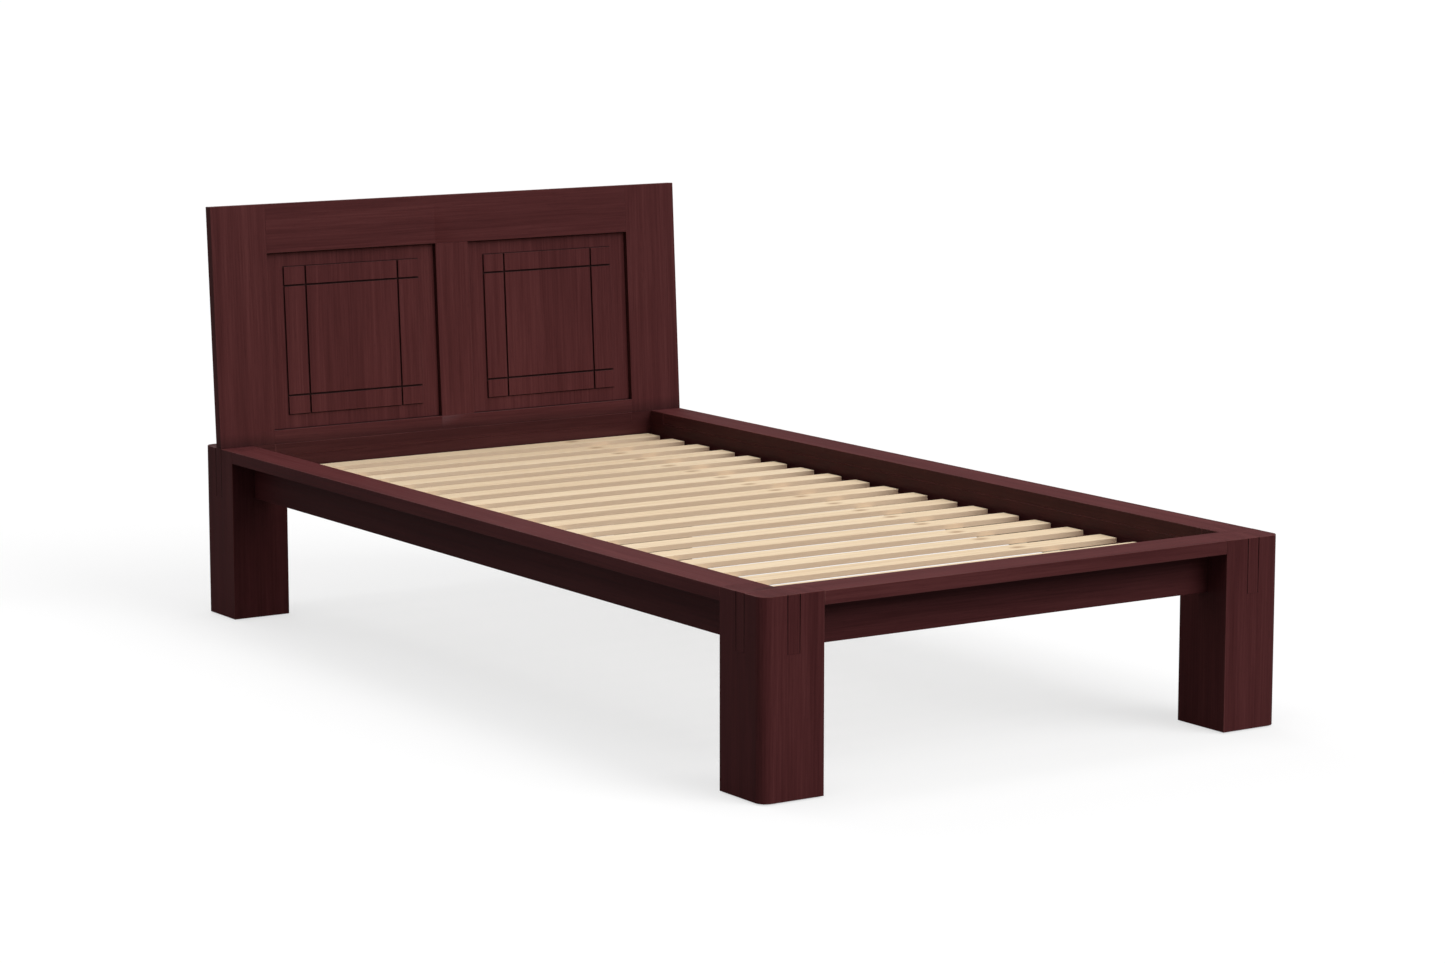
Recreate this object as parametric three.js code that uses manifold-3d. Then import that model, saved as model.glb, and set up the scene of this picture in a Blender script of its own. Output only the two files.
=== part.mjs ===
// A solid-wood single bed: four block legs, slim top rails over set-back aprons, a leaning
// frame-and-panel headboard and a loose roll-out base of slats.
// Millimetres, +Z up. The origin is on the floor, under the middle of the bed.
// +Y points to the head end and +X to the right of a person who looks at the bed from its foot.

import * as THREE from "three";
import { mergeVertices } from "three/addons/utils/BufferGeometryUtils.js";
import Module from "manifold-3d";

const wasm = await Module();
wasm.setup();

// ---- driving dimensions ----

const BED_WIDTH = 1184;
const BED_LENGTH = 2175;
const FRAME_HEIGHT = 370; // floor to the top of the rails
const GAP = 0.3; // left between pieces that touch

const LEG_WIDTH = 132; // along X
const LEG_DEPTH = 134; // along Y
const LEG_CORNER_RADIUS = 22; // on the outer vertical edge only
const FELT_HEIGHT = 2;
const FELT_INSET = 12;

const SIDE_RAIL_WIDTH = 80;
const END_RAIL_WIDTH = 82;
const RAIL_HEIGHT = 26;

const APRON_THICKNESS = 26;
const APRON_DROP = 106; // from the top of the rails to the bottom of the aprons

const SLAT_COUNT = 19;
const SLAT_TOP = 318;
const SLAT_WIDTH = 51;
const SLAT_THICKNESS = 10.6;
const SLAT_PITCH = 103.8;
const SLAT_LENGTH = 1003;
const FIRST_SLAT_BACK = 1001; // Y of the head-side edge of the slat nearest the headboard

const LEDGE_WIDTH = 26;
const LEDGE_HEIGHT = 30;

const STRAP_WIDTH = 40;
const STRAP_THICKNESS = 1.5;
const STRAP_OFFSET = 340; // of each strap's middle from the bed's middle

const BOARD_LEAN = THREE.MathUtils.degToRad(3.275);
const BOARD_THICKNESS = 22;
const BOARD_HEIGHT = 523.6; // along its own slope
const STILE_WIDTH = 131;
const TOP_RAIL_HEIGHT = 107;
const BOTTOM_RAIL_HEIGHT = 29.6;
const MUNTIN_WIDTH = 83.4;
const BOARD_GROOVE_DEPTH = 8;
const PANEL_RECESS = 10; // from the front of the headboard's frame to the panel
const PANEL_THICKNESS = 7;
const PANEL_TONGUE = 6;
const FIELD_WIDTH = 333.2; // the raised field on each panel
const FIELD_HEIGHT = 322.4;
const FIELD_RELIEF = 3.5;
const FIELD_CUT_X = 114.5; // of the cuts across the field, from its middle
const FIELD_CUT_Z = 120.3;
const FIELD_CUT_WIDTH = 4;

const RAIL_TENON_LENGTH = 30;
const RAIL_TENON_SHOULDERS = [14, 12]; // below and above the top rail's tenons
const FOOT_TENON = [3, 18]; // heights of the bottom rail's tenons
const MUNTIN_TENON_WIDTH = 56;
const MUNTIN_TENON_DEPTHS = [14, 25]; // into the bottom and the top rail

const STUD_RADIUS = 5;
const STUD_HALF_LENGTH = 50;
const STUD_SETBACKS = [67, 93]; // from the bed's outer side

const BOLT_RADIUS = 4;
const BOLT_LENGTH = 66;
const BOLT_HEAD_RADIUS = 6.5;
const BOLT_HEAD_HEIGHT = 8;
const BOLT_SOCKET_RADIUS = 3.45; // corner to corner of the hexagon
const BOLT_SOCKET_DEPTH = 4;
const BOLT_SETBACK = 118; // from the bed's outer side
const BOLT_HEIGHT = 291;

// ---- derived places ----

const HALF_WIDTH = BED_WIDTH / 2;
const HALF_LENGTH = BED_LENGTH / 2;
const APRON_BOTTOM = FRAME_HEIGHT - APRON_DROP;
const RAIL_BOTTOM = FRAME_HEIGHT - RAIL_HEIGHT;
const LAP_HEIGHT = FRAME_HEIGHT - APRON_DROP / 2; // where the crossed aprons meet
const LEDGE_TOP = SLAT_TOP - SLAT_THICKNESS - GAP;
const LEDGE_BOTTOM = LEDGE_TOP - LEDGE_HEIGHT;
const SIDE_APRON = [SIDE_RAIL_WIDTH - APRON_THICKNESS, SIDE_RAIL_WIDTH]; // from the outer side
const END_APRON = [END_RAIL_WIDTH - APRON_THICKNESS, END_RAIL_WIDTH]; // from the outer end
const OPENING_LOW = BOTTOM_RAIL_HEIGHT;
const OPENING_HIGH = BOARD_HEIGHT - TOP_RAIL_HEIGHT;
const PANEL_FRONT = PANEL_RECESS;
const PANEL_BACK = PANEL_RECESS + PANEL_THICKNESS;
const REACH = 10; // how far a cutter runs past the piece that it cuts
const BITE = 1; // how far joined solids run into each other

// ---- materials ----

const stained = { color: 0x4b2626, roughness: 0.5, metalness: 0 };
const pine = { color: 0xdfc59c, roughness: 0.6, metalness: 0 };
const webbing = { color: 0xcfc9b8, roughness: 0.9, metalness: 0 };
const felt = { color: 0x3a3634, roughness: 1, metalness: 0 };
const zincSteel = { color: 0xb9bcc0, roughness: 0.35, metalness: 0.9 };

// ---- solids ----

// A closed mesh as a manifold-3d solid.
function solidOf(geometry) {
  const bare = geometry.clone();
  bare.deleteAttribute("normal");
  bare.deleteAttribute("uv");
  const merged = mergeVertices(bare, 1e-4);
  return new wasm.Manifold(
    new wasm.Mesh({
      numProp: 3,
      vertProperties: new Float32Array(merged.attributes.position.array),
      triVerts: new Uint32Array(merged.index.array),
    }),
  );
}

// A manifold-3d solid as a flat-shaded geometry.
function geometryOf(solid) {
  const mesh = solid.getMesh();
  const indexed = new THREE.BufferGeometry()
    .setAttribute("position", new THREE.BufferAttribute(mesh.vertProperties, 3))
    .setIndex(new THREE.BufferAttribute(mesh.triVerts, 1));
  const flat = indexed.toNonIndexed();
  flat.computeVertexNormals();
  return flat;
}

// A block between two limits along each axis.
function block([x0, x1], [y0, y1], [z0, z1]) {
  const made = new THREE.BoxGeometry(x1 - x0, y1 - y0, z1 - z0);
  return made.translate((x0 + x1) / 2, (y0 + y1) / 2, (z0 + z1) / 2);
}

// A round bar along Y or Z, from one end to the other.
function bar(radius, axis, [from, to], [a, b], sides = 24) {
  const made = new THREE.CylinderGeometry(radius, radius, to - from, sides);
  if (axis === "y") return made.translate(a, (from + to) / 2, b);
  return made.rotateX(Math.PI / 2).translate(a, b, (from + to) / 2);
}

function joined(first, ...others) {
  return geometryOf(others.reduce((sum, g) => sum.add(solidOf(g)), solidOf(first)));
}

function cut(body, ...tools) {
  return geometryOf(tools.reduce((rest, g) => rest.subtract(solidOf(g)), solidOf(body)));
}

const grown = ([low, high], by = GAP) => [low - by, high + by];

function piece(name, geometry, look) {
  const mesh = new THREE.Mesh(geometry, new THREE.MeshStandardMaterial(look));
  mesh.name = name;
  return mesh;
}

// Corners are drawn with u and v running inwards from the bed's outer side and end.
const CORNERS = [
  { name: "foot_left", side: -1, end: -1 },
  { name: "foot_right", side: 1, end: -1 },
  { name: "head_left", side: -1, end: 1 },
  { name: "head_right", side: 1, end: 1 },
];

const span = (sign, outer, [near, far]) => {
  const a = sign * (outer - near);
  const b = sign * (outer - far);
  return [Math.min(a, b), Math.max(a, b)];
};
const across = (side, reach) => span(side, HALF_WIDTH, reach);
const along = (end, reach) => span(end, HALF_LENGTH, reach);

// ---- legs ----

// The leg's plan, with its one rounded corner at the bed's outer corner.
function legOutline({ side, end }) {
  const r = LEG_CORNER_RADIUS;
  const plan = new THREE.Shape();
  plan.moveTo(LEG_WIDTH, 0);
  plan.lineTo(LEG_WIDTH, LEG_DEPTH);
  plan.lineTo(0, LEG_DEPTH);
  plan.lineTo(0, r);
  plan.absarc(r, r, r, Math.PI, 1.5 * Math.PI, false);
  plan.closePath();
  const placed = plan.getPoints(10).map(
    (p) => new THREE.Vector2(side * (HALF_WIDTH - p.x), end * (HALF_LENGTH - p.y)),
  );
  return new THREE.Shape(placed);
}

// A block leg. Two crossed slots, open at the top, take the aprons, and the inner post is cut
// down to a shoulder that the slat ledge rests on.
function leg(corner) {
  const height = FRAME_HEIGHT - FELT_HEIGHT - GAP;
  const body = new THREE.ExtrudeGeometry(legOutline(corner), {
    depth: height,
    bevelEnabled: false,
  }).translate(0, 0, FELT_HEIGHT + GAP);
  const { side, end } = corner;
  const slots = [APRON_BOTTOM - GAP, FRAME_HEIGHT + REACH];
  const wide = [-REACH, LEG_WIDTH + REACH];
  const deep = [-REACH, LEG_DEPTH + REACH];
  return cut(
    body,
    block(across(side, grown(SIDE_APRON)), along(end, deep), slots),
    block(across(side, wide), along(end, grown(END_APRON)), slots),
    block(
      across(side, [SIDE_APRON[1] - REACH, LEG_WIDTH + REACH]),
      along(end, [END_APRON[1] - REACH, LEG_DEPTH + REACH]),
      [LEDGE_BOTTOM - GAP, FRAME_HEIGHT + REACH],
    ),
    boltHole(corner),
  );
}

function feltPad({ side, end }) {
  return block(
    across(side, [FELT_INSET, LEG_WIDTH - FELT_INSET]),
    along(end, [FELT_INSET, LEG_DEPTH - FELT_INSET]),
    [0, FELT_HEIGHT],
  );
}

// ---- aprons and rails ----

// A side apron runs the whole length. Its ends rise through the leg slots to the rails' top, and
// its upper half is notched where the end apron crosses it.
function sideApron(side) {
  const x = across(side, SIDE_APRON);
  const tongues = [-1, 1].map((end) =>
    block(x, along(end, [0, LEG_DEPTH]), [APRON_BOTTOM, FRAME_HEIGHT]),
  );
  const run = block(x, [-HALF_LENGTH, HALF_LENGTH], [APRON_BOTTOM, RAIL_BOTTOM]);
  const notches = [-1, 1].map((end) =>
    block(grown(x, REACH), along(end, grown(END_APRON)), [LAP_HEIGHT - GAP, FRAME_HEIGHT + REACH]),
  );
  return cut(joined(run, ...tongues), ...notches);
}

// An end apron is the same across the width, notched from below.
function endApron(end) {
  const y = along(end, END_APRON);
  const tongues = [-1, 1].map((side) =>
    block(across(side, [0, LEG_WIDTH]), y, [APRON_BOTTOM, FRAME_HEIGHT]),
  );
  const run = block([-HALF_WIDTH, HALF_WIDTH], y, [APRON_BOTTOM, RAIL_BOTTOM]);
  const notches = [-1, 1].map((side) =>
    block(across(side, grown(SIDE_APRON)), grown(y, REACH), [APRON_BOTTOM - REACH, LAP_HEIGHT]),
  );
  const bolts = CORNERS.filter((corner) => corner.end === end).map(boltHole);
  const studs = end > 0 ? studHoles() : [];
  return cut(joined(run, ...tongues), ...notches, ...bolts, ...studs);
}

function sideRail(side) {
  const reach = HALF_LENGTH - LEG_DEPTH - GAP;
  return block(
    across(side, [0, SIDE_RAIL_WIDTH]),
    [-reach, reach],
    [RAIL_BOTTOM + GAP, FRAME_HEIGHT],
  );
}

function endRail(end) {
  const reach = HALF_WIDTH - LEG_WIDTH - GAP;
  return block(
    [-reach, reach],
    along(end, [0, END_RAIL_WIDTH]),
    [RAIL_BOTTOM + GAP, FRAME_HEIGHT],
  );
}

// ---- slat base ----

function ledge(side) {
  const reach = HALF_LENGTH - END_RAIL_WIDTH - GAP;
  const start = SIDE_RAIL_WIDTH + GAP;
  return block(
    across(side, [start, start + LEDGE_WIDTH]),
    [-reach, reach],
    [LEDGE_BOTTOM, LEDGE_TOP],
  );
}

function slat(index) {
  const back = FIRST_SLAT_BACK - index * SLAT_PITCH;
  return block(
    [-SLAT_LENGTH / 2, SLAT_LENGTH / 2],
    [back - SLAT_WIDTH, back],
    [SLAT_TOP - SLAT_THICKNESS, SLAT_TOP],
  );
}

function strap(side) {
  const top = SLAT_TOP - SLAT_THICKNESS - GAP;
  const front = FIRST_SLAT_BACK - (SLAT_COUNT - 1) * SLAT_PITCH - SLAT_WIDTH;
  const middle = side * STRAP_OFFSET;
  return block(
    [middle - STRAP_WIDTH / 2, middle + STRAP_WIDTH / 2],
    [front, FIRST_SLAT_BACK],
    [top - STRAP_THICKNESS, top],
  );
}

// ---- headboard ----

// The headboard is drawn upright, its front on y = 0 and its foot on z = 0, and then leans back
// about its bottom front edge, which stands over the inner edge of the head rail.
function leaned(geometry) {
  return geometry
    .rotateX(-BOARD_LEAN)
    .translate(0, HALF_LENGTH - END_RAIL_WIDTH, FRAME_HEIGHT + GAP);
}

const boardDepth = [0, BOARD_THICKNESS];
const tenonDepth = [PANEL_FRONT, PANEL_BACK];
const openingEdges = [MUNTIN_WIDTH / 2, HALF_WIDTH - STILE_WIDTH];
const SKIRT = 3; // extra length at the foot, which is planed off level

// The part of a leaned member that stands on the head rail, planed level with the rail.
function planed(geometry) {
  const below = block(
    [-HALF_WIDTH - REACH, HALF_WIDTH + REACH],
    [HALF_LENGTH - 2 * END_RAIL_WIDTH, HALF_LENGTH],
    [FRAME_HEIGHT - 2 * REACH, FRAME_HEIGHT + GAP],
  );
  return cut(leaned(geometry), below);
}

// Both panel openings, grown all round by the depth of the groove that holds the panels.
function panelGrooves() {
  return [-1, 1].map((side) => {
    const x = openingEdges.map((edge) => side * edge).sort((a, b) => a - b);
    return block(
      grown(x, BOARD_GROOVE_DEPTH),
      grown(tenonDepth),
      grown([OPENING_LOW, OPENING_HIGH], BOARD_GROOVE_DEPTH),
    );
  });
}

const TOP_TENON = [OPENING_HIGH + RAIL_TENON_SHOULDERS[0], BOARD_HEIGHT - RAIL_TENON_SHOULDERS[1]];

// A tenon on each end of a rail, or the mortise for it when grown by the gap.
function railTenons(heights, by = 0) {
  const inner = HALF_WIDTH - STILE_WIDTH - REACH;
  const outer = HALF_WIDTH - STILE_WIDTH + RAIL_TENON_LENGTH;
  return [-1, 1].map((side) => {
    const x = [side * inner, side * (outer + by)].sort((a, b) => a - b);
    return block(x, grown(tenonDepth, by), grown(heights, by));
  });
}

// The heights of the muntin's tenons, in the bottom and top rails.
const MUNTIN_TENONS = [
  [OPENING_LOW - MUNTIN_TENON_DEPTHS[0], OPENING_LOW + REACH],
  [OPENING_HIGH - REACH, OPENING_HIGH + MUNTIN_TENON_DEPTHS[1]],
];

function muntinTenons(by = 0) {
  const half = MUNTIN_TENON_WIDTH / 2;
  return MUNTIN_TENONS.map((heights) =>
    block(grown([-half, half], by), grown(tenonDepth, by), grown(heights, by)),
  );
}

// The studs that pin the stiles to the end apron below, and their holes when grown by the gap.
function studBar(side, setback, by = 0) {
  const reach = STUD_HALF_LENGTH + by;
  const place = [side * (HALF_WIDTH - setback), BOARD_THICKNESS / 2];
  return bar(STUD_RADIUS + by, "z", [-reach, reach], place);
}

function studHoles() {
  return [-1, 1].flatMap((side) =>
    STUD_SETBACKS.map((setback) => leaned(studBar(side, setback, GAP))),
  );
}

function stile(side) {
  const x = across(side, [0, STILE_WIDTH]);
  const mortises = [...railTenons(TOP_TENON, GAP), ...railTenons(FOOT_TENON, GAP)];
  const studs = STUD_SETBACKS.map((setback) => studBar(side, setback, GAP));
  const body = block(x, boardDepth, [-SKIRT, BOARD_HEIGHT]);
  return planed(cut(body, ...panelGrooves(), ...mortises, ...studs));
}

function boardRail(heights, tenons, low) {
  const reach = HALF_WIDTH - STILE_WIDTH - GAP;
  const body = block([-reach, reach], boardDepth, [low, heights[1]]);
  return joined(cut(body, ...panelGrooves(), ...muntinTenons(GAP)), ...railTenons(tenons));
}

function topRail() {
  return leaned(boardRail([OPENING_HIGH, BOARD_HEIGHT], TOP_TENON, OPENING_HIGH));
}

function bottomRail() {
  return planed(boardRail([0, OPENING_LOW], FOOT_TENON, -SKIRT));
}

function muntin() {
  const half = MUNTIN_WIDTH / 2;
  const body = block([-half, half], boardDepth, grown([OPENING_LOW, OPENING_HIGH], -GAP));
  return leaned(joined(cut(body, ...panelGrooves()), ...muntinTenons()));
}

// A panel that floats in its groove. Its face carries a raised field, which two upright and two
// level cuts divide into nine tiles.
function panel(side) {
  const middle = (side * (openingEdges[0] + openingEdges[1])) / 2;
  const level = (OPENING_LOW + OPENING_HIGH) / 2;
  const x = openingEdges.map((edge) => side * edge).sort((a, b) => a - b);
  const plate = block(
    grown(x, PANEL_TONGUE),
    tenonDepth,
    grown([OPENING_LOW, OPENING_HIGH], PANEL_TONGUE),
  );
  const front = [PANEL_FRONT - FIELD_RELIEF, PANEL_FRONT];
  const field = block(
    [middle - FIELD_WIDTH / 2, middle + FIELD_WIDTH / 2],
    [front[0], front[1] + BITE],
    [level - FIELD_HEIGHT / 2, level + FIELD_HEIGHT / 2],
  );
  const relief = [front[0] - REACH, front[1]];
  const half = FIELD_CUT_WIDTH / 2;
  const upright = [-1, 1].map((way) => {
    const at = middle + way * FIELD_CUT_X;
    return block([at - half, at + half], relief, [OPENING_LOW, OPENING_HIGH]);
  });
  const crossing = [-1, 1].map((way) => {
    const at = level + way * FIELD_CUT_Z;
    return block(x, relief, [at - half, at + half]);
  });
  return leaned(cut(joined(plate, field), ...upright, ...crossing));
}

// ---- bolts ----

// A socket-head bolt holds each end apron to its leg, its head against the apron's inner face.
function boltHole({ side, end }) {
  const [x] = across(side, [BOLT_SETBACK, BOLT_SETBACK]);
  const y = along(end, [END_RAIL_WIDTH - BOLT_LENGTH - GAP, END_RAIL_WIDTH + BITE]);
  return bar(BOLT_RADIUS + GAP, "y", y, [x, BOLT_HEIGHT]);
}

function bolt({ side, end }) {
  const [x] = across(side, [BOLT_SETBACK, BOLT_SETBACK]);
  const face = END_RAIL_WIDTH + GAP;
  const top = face + BOLT_HEAD_HEIGHT;
  const at = [x, BOLT_HEIGHT];
  const shank = bar(BOLT_RADIUS, "y", along(end, [END_RAIL_WIDTH - BOLT_LENGTH, face + BITE]), at);
  const head = bar(BOLT_HEAD_RADIUS, "y", along(end, [face, top]), at);
  const socket = along(end, [top - BOLT_SOCKET_DEPTH, top + REACH]);
  return cut(joined(shank, head), bar(BOLT_SOCKET_RADIUS, "y", socket, at, 6));
}

// ---- the bed ----

const bed = new THREE.Group();

for (const corner of CORNERS) {
  bed.add(piece(`leg_${corner.name}`, leg(corner), stained));
  bed.add(piece(`felt_pad_${corner.name}`, feltPad(corner), felt));
  bed.add(piece(`apron_bolt_${corner.name}`, bolt(corner), zincSteel));
}

for (const [name, side] of [["left", -1], ["right", 1]]) {
  bed.add(piece(`side_apron_${name}`, sideApron(side), stained));
  bed.add(piece(`side_rail_${name}`, sideRail(side), stained));
  bed.add(piece(`slat_ledge_${name}`, ledge(side), stained));
  bed.add(piece(`slat_strap_${name}`, strap(side), webbing));
  bed.add(piece(`headboard_stile_${name}`, stile(side), stained));
  bed.add(piece(`headboard_panel_${name}`, panel(side), stained));
  STUD_SETBACKS.forEach((setback, i) => {
    const place = i === 0 ? "outer" : "inner";
    const stud = leaned(studBar(side, setback));
    bed.add(piece(`headboard_stud_${name}_${place}`, stud, zincSteel));
  });
}

for (const [name, end] of [["foot", -1], ["head", 1]]) {
  bed.add(piece(`end_apron_${name}`, endApron(end), stained));
  bed.add(piece(`end_rail_${name}`, endRail(end), stained));
}

bed.add(piece("headboard_top_rail", topRail(), stained));
bed.add(piece("headboard_bottom_rail", bottomRail(), stained));
bed.add(piece("headboard_muntin", muntin(), stained));

for (let i = 0; i < SLAT_COUNT; i++) {
  bed.add(piece(`slat_${String(i + 1).padStart(2, "0")}`, slat(i), pine));
}

export default bed;
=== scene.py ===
"""The looks of the bed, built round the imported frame. Metres, in the frame's own axes."""

import math
import random

import bmesh
import bpy
from mathutils import Matrix, Vector


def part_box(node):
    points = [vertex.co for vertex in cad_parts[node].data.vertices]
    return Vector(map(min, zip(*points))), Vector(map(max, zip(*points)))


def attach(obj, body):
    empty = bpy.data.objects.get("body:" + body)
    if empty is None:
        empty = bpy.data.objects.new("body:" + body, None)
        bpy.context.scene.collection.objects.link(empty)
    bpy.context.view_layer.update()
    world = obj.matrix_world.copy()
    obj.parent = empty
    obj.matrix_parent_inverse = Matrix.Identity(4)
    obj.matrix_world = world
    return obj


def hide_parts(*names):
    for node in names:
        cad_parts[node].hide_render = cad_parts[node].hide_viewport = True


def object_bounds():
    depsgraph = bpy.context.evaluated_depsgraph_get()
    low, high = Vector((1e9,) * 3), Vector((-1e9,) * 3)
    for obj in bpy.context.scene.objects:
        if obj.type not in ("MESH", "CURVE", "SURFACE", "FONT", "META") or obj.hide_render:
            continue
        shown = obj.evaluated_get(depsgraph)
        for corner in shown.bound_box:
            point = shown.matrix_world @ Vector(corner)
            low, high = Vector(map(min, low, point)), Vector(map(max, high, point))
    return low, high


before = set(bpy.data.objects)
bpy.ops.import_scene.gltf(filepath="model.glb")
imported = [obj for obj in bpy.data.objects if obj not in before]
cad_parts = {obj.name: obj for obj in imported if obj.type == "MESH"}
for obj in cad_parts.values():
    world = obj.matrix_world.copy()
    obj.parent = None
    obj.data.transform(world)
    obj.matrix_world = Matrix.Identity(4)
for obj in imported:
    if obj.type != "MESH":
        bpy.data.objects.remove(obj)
cad_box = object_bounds()

# ---- camera ----

CAMERA_PLACE = (-4.3258, -6.6052, 1.6238)
CAMERA_AZIMUTH = -33.497  # degrees round the bed, from its foot end
CAMERA_PITCH = 8.954  # degrees below level
CAMERA_LENS = 97.75  # millimetres
CAMERA_SENSOR = 36
CAMERA_REACH = 400


def facing(azimuth, pitch):
    """The turn of a camera that looks back from that azimuth and height."""
    a, e = math.radians(azimuth), math.radians(pitch)
    back = Vector((math.sin(a) * math.cos(e), -math.cos(a) * math.cos(e), math.sin(e)))
    return (-back).to_track_quat("-Z", "Y")


camera_data = bpy.data.cameras.new("camera")
camera_data.lens = CAMERA_LENS
camera_data.sensor_width = CAMERA_SENSOR
camera_data.clip_end = CAMERA_REACH
camera = bpy.data.objects.new("camera", camera_data)
camera.location = CAMERA_PLACE
camera.rotation_mode = "QUATERNION"
camera.rotation_quaternion = facing(CAMERA_AZIMUTH, CAMERA_PITCH)
bpy.context.scene.collection.objects.link(camera)
bpy.context.scene.camera = camera

# ---- places, read from the frame's boxes, or stated where no box gives them ----

LOW, HIGH = cad_box
HALF_WIDTH = HIGH.x
HALF_LENGTH = HIGH.y
RAIL_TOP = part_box("side_rail_left")[1].z
SIDE_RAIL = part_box("side_rail_left")[1].x - LOW.x
END_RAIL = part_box("end_rail_foot")[1].y - LOW.y
APRON_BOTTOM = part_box("side_apron_left")[0].z
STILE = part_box("headboard_stile_left")[1].x - LOW.x
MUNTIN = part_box("headboard_muntin")[1].x
BOARD_FOOT = Vector((0, HALF_LENGTH - END_RAIL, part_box("headboard_stile_left")[0].z))
BOARD_LEAN = math.radians(3.275)
BOARD_TOP = 0.5230  # up the headboard's slope, from its foot, like the next two
OPENING_LOW = 0.0296
OPENING_HIGH = 0.4166
LEVEL = (OPENING_LOW + OPENING_HIGH) / 2
PANEL_FRONT = 0.010  # behind the headboard's front
SIDE_STRIP = (0.054, 0.080)  # where the aprons' ends show on a leg, in from its outer faces
END_STRIP = (0.056, 0.082)
LEG_ROUND = 0.02  # a point nearer a corner of the bed than this is on a leg's rounded edge
RIM = 0.002  # how far the painted shade reaches at a panel's edge and round its field
RIM_X = (HALF_WIDTH - STILE - MUNTIN) / 2 - RIM  # from a panel's middle, like the next five
RIM_Z = (OPENING_HIGH - OPENING_LOW) / 2 - RIM
FIELD_X = 0.1666
FIELD_Z = 0.1612
CUT_X = 0.1145
CUT_Z = 0.1203
CUT_WIDTH = 0.004
NEAR = 0.0006  # a point counts as on a line within this distance
TILT = 0.5  # the z of a direction half way between level and upright

to_board = Matrix.Rotation(BOARD_LEAN, 4, "X") @ Matrix.Translation(-BOARD_FOOT)
slope = Vector((0, math.sin(BOARD_LEAN), math.cos(BOARD_LEAN)))

# ---- pieces from the frame's nodes ----

JOINT_WIDTH = 0.0009
WELD = 1e-6
SMOOTHED_BEND = math.radians(0.6)  # faces that turn less than this are joined
CORNER_BEND = math.radians(25)  # edges that turn more than this are finished
JOINT_BEND = math.radians(30)  # and more than this stay sharp, beside a joint's line
SHARP_BEND = math.radians(50)  # or elsewhere
FACE_WEIGHT = 80
STEEP = 0.3  # a face is a wall while this part of its normal is below this
WELL_PAINTED_SHADE = 0.45  # depths of painted shade, of 1
OPENING_PAINTED_SHADE = 0.5
FOOT_PAINTED_SHADE = 0.5
CUT_PAINTED_SHADE = 0.85
RIM_PAINTED_SHADE = 0.7
FIELD_WEAR = 0.3


def near(a, b):
    return abs(a - b) < NEAR


def frame_edge(middle, along):
    """How an edge of the bed's frame is finished: eased, a joint's dark line, or left sharp."""
    u, v = HALF_WIDTH - abs(middle.x), HALF_LENGTH - abs(middle.y)
    outside = u < NEAR or v < NEAR
    if near(middle.z, RAIL_TOP):
        rounded = u + v < LEG_ROUND and not outside
        over_well = (near(u, SIDE_RAIL) and v > END_RAIL) or (near(v, END_RAIL) and u > SIDE_RAIL)
        return "ease" if outside or rounded or over_well else "sharp"
    if outside and abs(along.z) < TILT and abs(middle.z - APRON_BOTTOM) < 2 * NEAR:
        return "sharp"
    if outside and abs(along.z) > TILT and middle.z > APRON_BOTTOM and in_strip(u, v):
        return "joint"
    return "ease"


def in_strip(u, v):
    """True beside the strips that the aprons' ends make on the legs' faces."""
    gaps = [abs(u - side) for side in SIDE_STRIP] + [abs(v - side) for side in END_STRIP]
    return min(gaps) < 2 * NEAR


def board_edge(middle, along):
    """The same for the headboard, whose members meet flush."""
    at = to_board @ middle
    across = HALF_WIDTH - abs(at.x)
    outside = across < NEAR or at.z > BOARD_TOP
    opening = OPENING_LOW - NEAR < at.z < OPENING_HIGH + NEAR
    beside = abs(at.x) > MUNTIN - NEAR and across > STILE - NEAR
    return "ease" if outside or (opening and beside) else "sharp"


def any_edge(middle, along):
    return "ease"


def split(bm, planes):
    """Cuts the faces along these planes, so that an edge can be finished in part."""
    for point, normal in planes:
        everything = [*bm.verts, *bm.edges, *bm.faces]
        bmesh.ops.bisect_plane(bm, geom=everything, dist=WELD, plane_co=point, plane_no=normal)


def chamfer(bm, width, segments, mark, layer, chosen):
    made = bmesh.ops.bevel(
        bm, geom=chosen, offset=width, offset_type="OFFSET", segments=segments,
        profile=0.5, affect="EDGES", clamp_overlap=True, loop_slide=False,
    )
    for face in made["faces"]:
        for loop in face.loops:
            loop[layer] = mark


def bend(edge):
    return edge.calc_face_angle(0.0) if len(edge.link_faces) == 2 else 0.0


def eased_mesh(node, width, finish, planes=()):
    """A copy of a node's mesh with its corners eased. The loop layer "edge" is 1 on the eased
    edges, -1 in the joints' lines, in between where shade is painted, and 0 elsewhere."""
    bm = bmesh.new()
    bm.from_mesh(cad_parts[node].data)
    bmesh.ops.remove_doubles(bm, verts=bm.verts, dist=WELD)
    bmesh.ops.dissolve_limit(
        bm, angle_limit=SMOOTHED_BEND, verts=bm.verts, edges=bm.edges, delimit=set()
    )
    split(bm, planes)
    layer = bm.loops.layers.float.new("edge")
    for kind, size, segments, mark in (("joint", JOINT_WIDTH, 1, -1.0), ("ease", width, 2, 1.0)):
        chosen = [
            e for e in bm.edges
            if bend(e) > CORNER_BEND and e.is_convex
            and finish((e.verts[0].co + e.verts[1].co) / 2, direction(e)) == kind
            and not any(loop[layer] for face in e.link_faces for loop in face.loops)
        ]
        if chosen:
            chamfer(bm, size, segments, mark, layer, chosen)
    for face in bm.faces:
        face.smooth = True
    for e in bm.edges:
        in_joint = any(loop[layer] < 0 for face in e.link_faces for loop in face.loops)
        e.smooth = bend(e) < (JOINT_BEND if in_joint else SHARP_BEND)
    mesh = bpy.data.meshes.new(node)
    bm.to_mesh(mesh)
    bm.free()
    return mesh


def direction(edge):
    return (edge.verts[1].co - edge.verts[0].co).normalized()


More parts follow.
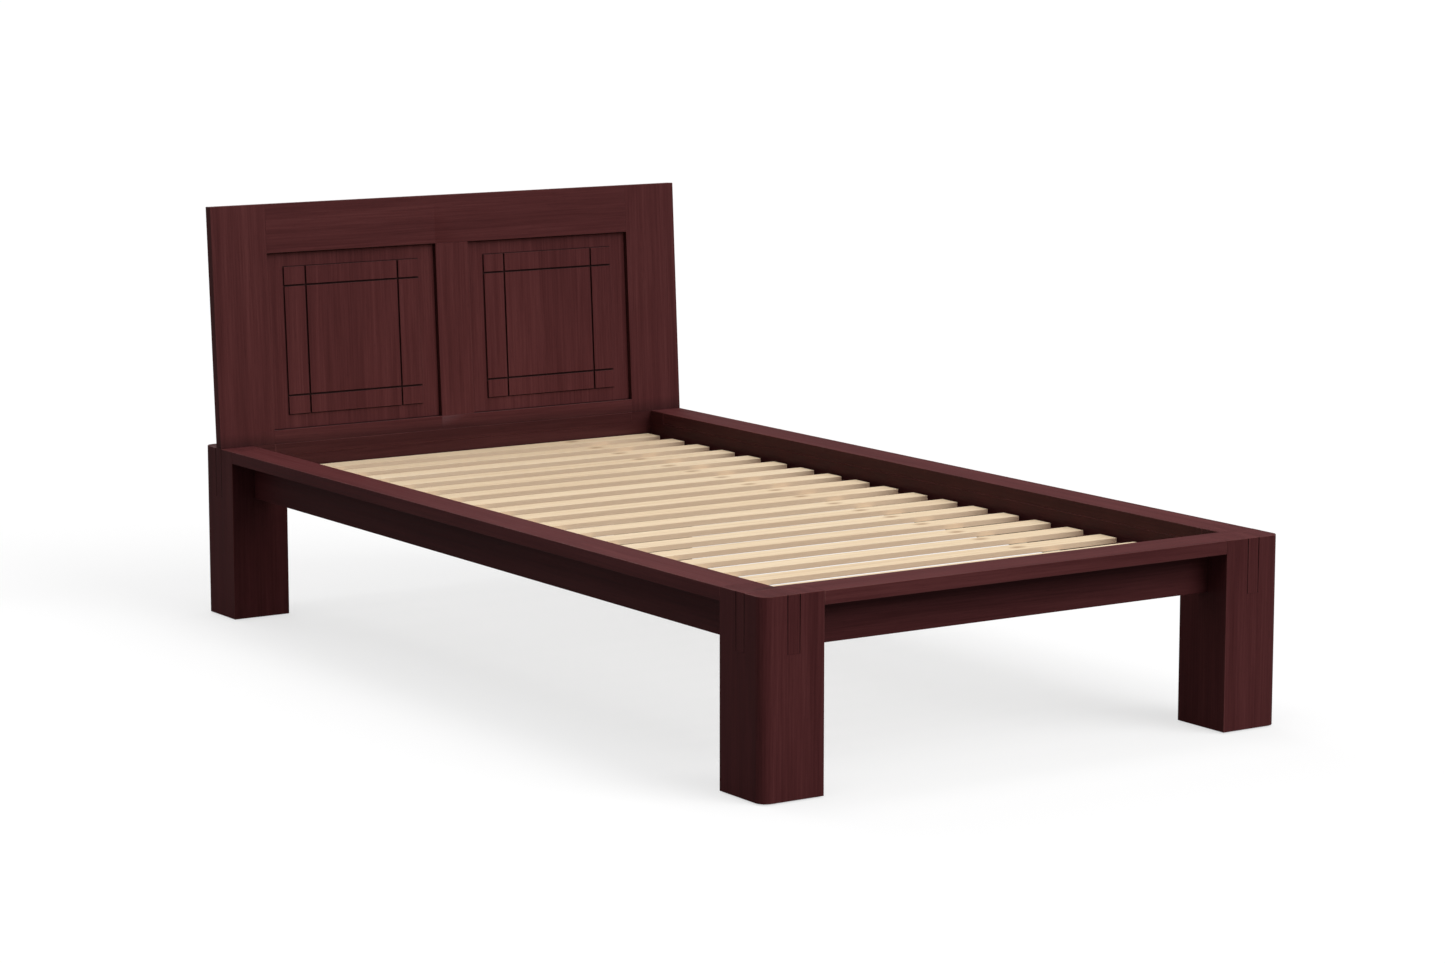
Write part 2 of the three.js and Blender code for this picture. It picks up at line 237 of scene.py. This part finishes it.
def weighted(obj):
    """Flat faces keep their own normals and only the eased edges turn."""
    modifier = obj.modifiers.new("normals", "WEIGHTED_NORMAL")
    modifier.weight = FACE_WEIGHT
    modifier.keep_sharp = True
    bpy.context.view_layer.update()
    done = bpy.data.meshes.new_from_object(
        obj.evaluated_get(bpy.context.evaluated_depsgraph_get())
    )
    obj.modifiers.clear()
    obj.data = done


def panel_middle(side):
    return side * (MUNTIN + HALF_WIDTH - STILE) / 2


def cut_planes(side):
    """The planes of a panel's rim, of its raised field's rim and edge, and of the cuts in it."""
    middle = panel_middle(side)
    across = [RIM_X, FIELD_X + RIM, FIELD_X, CUT_X - CUT_WIDTH / 2, CUT_X + CUT_WIDTH / 2]
    up = [RIM_Z, FIELD_Z + RIM, FIELD_Z, CUT_Z - CUT_WIDTH / 2, CUT_Z + CUT_WIDTH / 2]
    planes = [((middle + way * x, 0, 0), (1, 0, 0)) for way in (-1, 1) for x in across]
    heights = [LEVEL + way * z for way in (-1, 1) for z in up]
    return planes + [(BOARD_FOOT + slope * height, slope) for height in heights]


def darken_cuts(mesh, side):
    """Marks both rims of a panel and the floors and walls of its cuts with painted shade."""
    middle = panel_middle(side)
    layer = mesh.attributes["edge"].data
    for face in mesh.polygons:
        at = to_board @ face.center
        x, z = abs(at.x - middle), abs(at.z - LEVEL)
        wall = abs((to_board.to_3x3() @ face.normal).y) < STEEP
        cut = x < FIELD_X + NEAR and z < FIELD_Z + NEAR and at.y < PANEL_FRONT + NEAR
        low = near(at.y, PANEL_FRONT)
        rim = x > RIM_X or z > RIM_Z or (x < FIELD_X + RIM and z < FIELD_Z + RIM)
        for index in face.loop_indices:
            # Painted shade: the cuts' floors and walls and the rims round the panel and its field
            # are darkened.
            if cut and (wall or low):
                layer[index].value = -CUT_PAINTED_SHADE
            elif low and rim:
                layer[index].value = -RIM_PAINTED_SHADE
            elif layer[index].value > 0:
                layer[index].value = FIELD_WEAR


def darken(mesh, depth):
    """Sets how deep the painted shade is at each point, from depth(place, normal)."""
    layer = mesh.attributes["edge"].data
    for face in mesh.polygons:
        for index in face.loop_indices:
            if layer[index].value == 0:
                place = mesh.vertices[mesh.loops[index].vertex_index].co
                layer[index].value = -depth(place, face.normal)


def well_painted_shade(place, normal):
    """Painted shade on the upright faces that look into the mattress well."""
    inward = place.x * normal.x + place.y * normal.y < 0 and abs(normal.z) < STEEP
    return WELL_PAINTED_SHADE if inward else 0.0


def board_shade(place, normal):
    """Painted shade on the openings' walls, and on the foot of the board just over the slats,
    deepest at its bottom.
    """
    at = to_board @ place
    across = HALF_WIDTH - abs(at.x)
    wall = abs((to_board.to_3x3() @ normal).y) < STEEP
    if wall and OPENING_LOW - NEAR < at.z < OPENING_HIGH + NEAR:
        return OPENING_PAINTED_SHADE if abs(at.x) > MUNTIN - NEAR and across > STILE - NEAR else 0.0
    return max(0.0, FOOT_PAINTED_SHADE * (1 - at.z / OPENING_LOW))


ORDER = {"x": (1, 2, 0), "y": (0, 2, 1), "z": (0, 1, 2)}  # across, across, along the grain
END_FACE = {"x": "z", "y": "z", "z": "y"}  # the way the figure runs on a board's end
GRAIN_SPREAD = 40  # boards are cut from places this far apart in the figure
GRAIN_LEAN = 0.008
ON_END = 0.9  # a face is a board's end past this part of its normal


def set_grain(mesh, axis, seed, upright=None):
    """Stores where each point of a face lies in its board: across, across, along the grain."""
    rand = random.Random(seed)
    shift = [rand.uniform(0, GRAIN_SPREAD) for _ in range(3)]
    lean = [rand.uniform(-GRAIN_LEAN, GRAIN_LEAN) for _ in range(2)]
    turned = upright.to_3x3() if upright else Matrix.Identity(3)
    values = [0.0] * (3 * len(mesh.loops))
    for face in mesh.polygons:
        on_end = abs((turned @ face.normal)[ORDER[axis][2]]) > ON_END
        order = ORDER[END_FACE[axis] if on_end else axis]
        for index in face.loop_indices:
            vertex = mesh.vertices[mesh.loops[index].vertex_index].co
            a, b, c = ((upright @ vertex if upright else vertex)[i] for i in order)
            place = (a + lean[0] * c + shift[0], b + lean[1] * c + shift[1], c + shift[2])
            values[3 * index : 3 * index + 3] = place
    grain = mesh.attributes.new("grain", "FLOAT_VECTOR", "CORNER")
    grain.data.foreach_set("vector", values)


def piece_from(node, body, material, axis, width, finish, seed, planes=(), upright=None):
    obj = bpy.data.objects.new(node + "_piece", eased_mesh(node, width, finish, planes))
    bpy.context.scene.collection.objects.link(obj)
    weighted(obj)
    set_grain(obj.data, axis, seed, upright)
    obj.data.materials.clear()
    obj.data.materials.append(material)
    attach(obj, body)
    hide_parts(node)
    return obj


# ---- material helpers ----


def new_material(name):
    material = bpy.data.materials.new(name)
    material.use_nodes = True
    return material, material.node_tree, material.node_tree.nodes["Principled BSDF"]


def add(tree, kind, inputs=None, **settings):
    made = tree.nodes.new(kind)
    for key, value in settings.items():
        setattr(made, key, value)
    for key, value in (inputs or {}).items():
        if isinstance(value, bpy.types.NodeSocket):
            tree.links.new(value, made.inputs[key])
        else:
            made.inputs[key].default_value = value
    return made


def attribute(tree, name, output="Fac"):
    return add(tree, "ShaderNodeAttribute", attribute_name=name).outputs[output]


def noise(tree, vector, scale, detail=2.0, rough=0.5, distortion=0.0):
    inputs = {"Vector": vector, "Scale": scale, "Detail": detail, "Roughness": rough}
    inputs["Distortion"] = distortion
    return add(tree, "ShaderNodeTexNoise", inputs).outputs[0]


def streaks(tree, grain, scale, along, detail, rough=0.5, distortion=0.0):
    """Noise drawn out along the grain, where its scale is only this share of the scale across."""
    drawn = add(tree, "ShaderNodeMapping", {"Vector": grain, "Scale": (1, 1, along)}).outputs[0]
    return noise(tree, drawn, scale, detail, rough, distortion)


def math_node(tree, operation, a, b):
    return add(tree, "ShaderNodeMath", {0: a, 1: b}, operation=operation).outputs[0]


def blend(tree, *shares):
    """The sum of values, each times its share."""
    parts = [math_node(tree, "MULTIPLY", value, share) for value, share in shares]
    total = parts[0]
    for part in parts[1:]:
        total = math_node(tree, "ADD", total, part)
    return total


def remap(tree, value, low, high, to_low=0.0, to_high=1.0):
    inputs = {"Value": value, "From Min": low, "From Max": high}
    inputs.update({"To Min": to_low, "To Max": to_high})
    return add(tree, "ShaderNodeMapRange", inputs, clamp=True).outputs[0]


def ramp(tree, value, stops):
    made = add(tree, "ShaderNodeValToRGB", {"Fac": value})
    elements = made.color_ramp.elements
    while len(elements) < len(stops):
        elements.new(0.5)
    for element, (place, colour) in zip(elements, stops):
        element.position = place
        element.color = (*colour, 1)
    return made.outputs[0]


def mix(tree, factor, a, b):
    made = add(tree, "ShaderNodeMix", data_type="RGBA")
    for index, value in ((0, factor), (6, a), (7, b)):
        if isinstance(value, bpy.types.NodeSocket):
            tree.links.new(value, made.inputs[index])
        elif index == 0:
            made.inputs[index].default_value = value
        else:
            made.inputs[index].default_value = (*value, 1)
    return made.outputs[2]


def bump(tree, shader, height, strength, distance):
    inputs = {"Height": height, "Strength": strength, "Distance": distance}
    made = add(tree, "ShaderNodeBump", inputs)
    tree.links.new(made.outputs[0], shader.inputs["Normal"])


# ---- materials ----

STAIN_TONES = [
    (0.34, (0.0620, 0.0135, 0.0145)),
    (0.50, (0.0900, 0.0218, 0.0228)),
    (0.66, (0.1200, 0.0325, 0.0330)),
]
STAINED_PORE = (0.036, 0.009, 0.0095)
WORN_STAIN = (0.190, 0.070, 0.062)
# The dark of the joints' lines, and of painted shade in the well, openings, cuts, rims and at the
# board's foot.
JOINT_LINE_AND_PAINTED_SHADE = (0.008, 0.003, 0.003)
PINE_TONES = [
    (0.36, (0.650, 0.480, 0.305)),
    (0.50, (0.750, 0.585, 0.390)),
    (0.64, (0.820, 0.670, 0.475)),
]
# painted light: the paler colour given to the slats' sides
PINE_SIDE_PAINTED_LIGHT = (0.960, 0.690, 0.480)
PINE_KNOT = (0.330, 0.180, 0.090)
WORN_PINE = (0.640, 0.520, 0.380)
WEBBING_TONES = [
    (0.15, (0.300, 0.275, 0.220)),
    (0.55, (0.560, 0.520, 0.430)),
    (0.85, (0.680, 0.645, 0.550)),
]
FELT_TONES = [(0.35, (0.016, 0.014, 0.013)), (0.65, (0.075, 0.068, 0.062))]
ZINC_TONES = [(0.35, (0.430, 0.440, 0.450)), (0.65, (0.620, 0.625, 0.630))]


def stained_wood():
    material, tree, shader = new_material("stained_wood")
    grain = attribute(tree, "grain", "Vector")
    edge = attribute(tree, "edge")
    cloud = streaks(tree, grain, 6, 0.25, 2)
    broad = streaks(tree, grain, 45, 0.03, 3, 0.55)
    fine = streaks(tree, grain, 300, 0.022, 4, 0.6)
    pores = streaks(tree, grain, 900, 0.05, 2)
    colour = ramp(tree, blend(tree, (cloud, 0.22), (broad, 0.36), (fine, 0.42)), STAIN_TONES)
    pore = remap(tree, pores, 0.60, 0.72, 0.0, 0.35)
    colour = mix(tree, pore, colour, STAINED_PORE)
    worn = remap(tree, edge, 0.0, 1.0)
    worn = math_node(tree, "MULTIPLY", worn, remap(tree, broad, 0.42, 0.66, 0.10, 0.45))
    colour = mix(tree, worn, colour, WORN_STAIN)
    # Below 0 the edge layer darkens the wood: the joints' own dark lines, and painted shade.
    joint_line_and_painted_shade = remap(tree, edge, 0.0, -1.0, 0.0, 0.95)
    colour = mix(tree, joint_line_and_painted_shade, colour, JOINT_LINE_AND_PAINTED_SHADE)
    tree.links.new(colour, shader.inputs["Base Color"])
    rough = remap(tree, fine, 0.3, 0.7, 0.40, 0.54)
    tree.links.new(rough, shader.inputs["Roughness"])
    shader.inputs["Specular IOR Level"].default_value = 0.10
    relief = math_node(tree, "SUBTRACT", math_node(tree, "MULTIPLY", fine, 0.6), pore)
    bump(tree, shader, relief, 0.25, 0.0003)
    return material


def pine():
    material, tree, shader = new_material("pine")
    grain = attribute(tree, "grain", "Vector")
    edge = attribute(tree, "edge")
    warp = streaks(tree, grain, 9, 0.12, 2)
    rings = streaks(tree, grain, 110, 0.012, 2, 0.5, 0.4)
    fibre = streaks(tree, grain, 520, 0.02, 3, 0.6)
    colour = ramp(tree, blend(tree, (warp, 0.25), (rings, 0.40), (fibre, 0.35)), PINE_TONES)
    # Painted light: the slats' sides are painted paler than their faces.
    side = attribute(tree, "side")
    colour = mix(tree, side, colour, mix(tree, 0.6, colour, PINE_SIDE_PAINTED_LIGHT))
    spot = add(tree, "ShaderNodeVectorMath", {0: attribute(tree, "knot", "Vector")},
               operation="LENGTH").outputs["Value"]
    ragged = math_node(tree, "ADD", spot, math_node(tree, "MULTIPLY", fibre, 0.5))
    knot = remap(tree, ragged, 0.5, 1.35, 0.75, 0.0)
    colour = mix(tree, knot, colour, PINE_KNOT)
    worn = math_node(tree, "MULTIPLY", remap(tree, edge, 0.0, 1.0), 0.25)
    colour = mix(tree, worn, colour, WORN_PINE)
    tree.links.new(colour, shader.inputs["Base Color"])
    tree.links.new(remap(tree, rings, 0.3, 0.7, 0.66, 0.52), shader.inputs["Roughness"])
    relief = math_node(tree, "ADD", fibre, math_node(tree, "MULTIPLY", rings, 0.8))
    bump(tree, shader, relief, 0.3, 0.0004)
    return material


def threads(tree, grain, direction, scale, unevenness):
    inputs = {"Vector": grain, "Scale": scale, "Distortion": unevenness}
    return add(tree, "ShaderNodeTexWave", inputs, bands_direction=direction).outputs["Fac"]


def woven():
    material, tree, shader = new_material("webbing")
    grain = attribute(tree, "grain", "Vector")
    warp = threads(tree, grain, "X", 160, 0.3)
    weft = threads(tree, grain, "Z", 110, 0.5)
    weave = math_node(tree, "MULTIPLY", warp, weft)
    soil = noise(tree, grain, 25, 3)
    colour = ramp(tree, blend(tree, (weave, 0.6), (soil, 0.4)), WEBBING_TONES)
    tree.links.new(colour, shader.inputs["Base Color"])
    shader.inputs["Roughness"].default_value = 0.9
    bump(tree, shader, weave, 0.7, 0.0005)
    return material


def felt():
    material, tree, shader = new_material("felt")
    grain = attribute(tree, "grain", "Vector")
    fuzz = noise(tree, grain, 900, 4, 0.7)
    clump = noise(tree, grain, 120, 2)
    colour = ramp(tree, blend(tree, (fuzz, 0.6), (clump, 0.4)), FELT_TONES)
    tree.links.new(colour, shader.inputs["Base Color"])
    shader.inputs["Roughness"].default_value = 1.0
    bump(tree, shader, fuzz, 0.8, 0.0006)
    return material


def zinc():
    material, tree, shader = new_material("zinc_steel")
    grain = attribute(tree, "grain", "Vector")
    spangle = noise(tree, grain, 350, 3)
    scratch = streaks(tree, grain, 1500, 0.1, 2)
    tree.links.new(ramp(tree, spangle, ZINC_TONES), shader.inputs["Base Color"])
    shader.inputs["Metallic"].default_value = 1.0
    tree.links.new(remap(tree, spangle, 0.3, 0.7, 0.28, 0.46), shader.inputs["Roughness"])
    bump(tree, shader, scratch, 0.2, 0.0001)
    return material


STAINED = stained_wood()
PINE = pine()
WEBBING = woven()
FELT = felt()
ZINC = zinc()

# ---- the stained frame ----

EASE = 0.0009  # how far the corners are eased
PANEL_EASE = 0.0004
SLAT_EASE = 0.0005
STRAP_EASE = 0.0004
METAL_EASE = 0.0004
FELT_EASE = 0.0007
CORNERS = ("foot_left", "foot_right", "head_left", "head_right")
SIDES = ("left", "right")


def stained(node, axis, finish=frame_edge, planes=(), upright=None, width=EASE, shade=None):
    obj = piece_from(
        node, "frame", STAINED, axis, width, finish, node, planes, upright
    )
    if shade:
        darken(obj.data, shade)
    return obj


def metal(node, axis, seed):
    piece_from(node, "frame", ZINC, axis, METAL_EASE, any_edge, seed)


for corner in CORNERS:
    stained(f"leg_{corner}", "z")
    piece_from(f"felt_pad_{corner}", "frame", FELT, "z", FELT_EASE, any_edge, corner)
    metal(f"apron_bolt_{corner}", "y", corner)

for side in SIDES:
    stained(f"side_apron_{side}", "y", shade=well_painted_shade)
    stained(f"side_rail_{side}", "y", shade=well_painted_shade)
    stained(f"slat_ledge_{side}", "y", any_edge)

well_sides = [((s * (HALF_WIDTH - SIDE_RAIL), 0, 0), (1, 0, 0)) for s in (-1, 1)]
for end in ("foot", "head"):
    stained(f"end_apron_{end}", "x", frame_edge, well_sides, shade=well_painted_shade)
    stained(f"end_rail_{end}", "x", shade=well_painted_shade)

# ---- the headboard ----

opening_levels = [(BOARD_FOOT + slope * s, slope) for s in (OPENING_LOW, OPENING_HIGH)]
opening_sides = [
    ((x, 0, 0), (1, 0, 0))
    for x in (STILE - HALF_WIDTH, -MUNTIN, MUNTIN, HALF_WIDTH - STILE)
]
for side in SIDES:
    stained(f"headboard_stile_{side}", "z", board_edge, opening_levels, to_board,
            shade=board_shade)
    way = -1 if side == "left" else 1
    panel = stained(f"headboard_panel_{side}", "z", any_edge, cut_planes(way), to_board,
                    PANEL_EASE)
    darken_cuts(panel.data, way)
    for place in ("outer", "inner"):
        node = f"headboard_stud_{side}_{place}"
        metal(node, "z", node)
stained("headboard_muntin", "z", board_edge, (), to_board, shade=board_shade)
for part in ("top", "bottom"):
    stained(f"headboard_{part}_rail", "x", board_edge, opening_sides, to_board,
            shade=board_shade)

# ---- the slat base ----

KNOT_FROM_END = 0.225
KNOT_STRAY_X = (-0.006, 0.006)
KNOT_STRAY_Y = (-0.006, 0.010)
KNOT_RADIUS_X = 0.022
KNOT_RADIUS_Y = 0.012


def set_knot(mesh, seed):
    """Stores each point's place round the slat's one soft knot, in knot radii, and marks the
    slat's sides, whose colour is painted paler than the face as painted light."""
    rand = random.Random(seed)
    end = max(v.co.x for v in mesh.vertices)
    across = [v.co.y for v in mesh.vertices]
    at_x = end - (KNOT_FROM_END + rand.uniform(*KNOT_STRAY_X))
    at_y = (min(across) + max(across)) / 2 + rand.uniform(*KNOT_STRAY_Y)
    mesh.attributes.new("knot", "FLOAT_VECTOR", "CORNER")
    mesh.attributes.new("side", "FLOAT", "CORNER")
    knot, side = mesh.attributes["knot"], mesh.attributes["side"]
    for face in mesh.polygons:
        for index in face.loop_indices:
            at = mesh.vertices[mesh.loops[index].vertex_index].co
            away = ((at.x - at_x) / KNOT_RADIUS_X, (at.y - at_y) / KNOT_RADIUS_Y, 0)
            knot.data[index].vector = away
            side.data[index].value = float(abs(face.normal.z) < TILT)


slats = sorted(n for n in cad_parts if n.startswith("slat_") and n[5:].isdigit())
for node in slats:
    slat = piece_from(node, "slat_base", PINE, "x", SLAT_EASE, any_edge, node)
    set_knot(slat.data, node)
for side in SIDES:
    node = f"slat_strap_{side}"
    piece_from(node, "slat_base", WEBBING, "y", STRAP_EASE, any_edge, node)

# ---- stage ----

FLOOR_RADIUS = 120
FLOOR_CORNERS = 96
FLOOR_SHADE = 0.32
FLOOR_GLOW = 0.63
FLOOR_BOUNCE = 0.15
HORIZON_LIGHT = 0.04
ZENITH_LIGHT = 0.25
SUNS = {  # azimuth and height in degrees, strength, softness in degrees
    "overhead": (0, 88, 1.8, 60),
    "key": (28, 37, 1.8, 45),
    "fill": (-90, 30, 0.17, 45),
    "back": (180, 35, 0.7, 45),
}


def stage_floor():
    """A white floor whose shadows stay pale, and which throws little light back at the bed."""
    bm = bmesh.new()
    bmesh.ops.create_circle(bm, cap_ends=True, radius=FLOOR_RADIUS, segments=FLOOR_CORNERS)
    mesh = bpy.data.meshes.new("floor")
    bm.to_mesh(mesh)
    bm.free()
    floor = bpy.data.objects.new("floor", mesh)
    bpy.context.scene.collection.objects.link(floor)
    material, tree, shader = new_material("floor")
    tree.nodes.remove(shader)
    seen = add(tree, "ShaderNodeAddShader", {
        0: add(tree, "ShaderNodeBsdfDiffuse", {"Color": (*[FLOOR_SHADE] * 3, 1)}).outputs[0],
        1: add(tree, "ShaderNodeEmission", {"Strength": FLOOR_GLOW}).outputs[0],
    }).outputs[0]
    unseen = add(tree, "ShaderNodeBsdfDiffuse", {"Color": (*[FLOOR_BOUNCE] * 3, 1)}).outputs[0]
    ray = add(tree, "ShaderNodeLightPath").outputs["Is Camera Ray"]
    both = add(tree, "ShaderNodeMixShader", {0: ray, 1: unseen, 2: seen}).outputs[0]
    tree.links.new(both, tree.nodes["Material Output"].inputs["Surface"])
    mesh.materials.append(material)


def soft_sun(name, azimuth, height, strength, softness):
    """Even light from one side, its shadows softened by the size of its source."""
    data = bpy.data.lights.new(name, "SUN")
    data.energy = strength
    data.angle = math.radians(softness)
    light = bpy.data.objects.new(name, data)
    light.rotation_mode = "QUATERNION"
    light.rotation_quaternion = facing(azimuth, height)
    bpy.context.scene.collection.objects.link(light)


def studio():
    """A white surround that lights the bed mostly from overhead, and four soft suns."""
    world = bpy.data.worlds.new("studio")
    bpy.context.scene.world = world
    world.use_nodes = True
    tree = world.node_tree
    background = tree.nodes["Background"]
    up = add(tree, "ShaderNodeSeparateXYZ",
             {0: add(tree, "ShaderNodeTexCoord").outputs["Generated"]}).outputs["Z"]
    light = remap(tree, up, 0.0, 1.0, HORIZON_LIGHT, ZENITH_LIGHT)
    ray = add(tree, "ShaderNodeLightPath").outputs["Is Camera Ray"]
    strength = add(tree, "ShaderNodeMix", {0: ray, 2: light, 3: 1.0}).outputs[0]
    background.inputs["Color"].default_value = (1, 1, 1, 1)
    tree.links.new(strength, background.inputs["Strength"])
    for name, settings in SUNS.items():
        soft_sun(name, *settings)


stage_floor()
studio()
bpy.context.scene.view_settings.view_transform = "Standard"
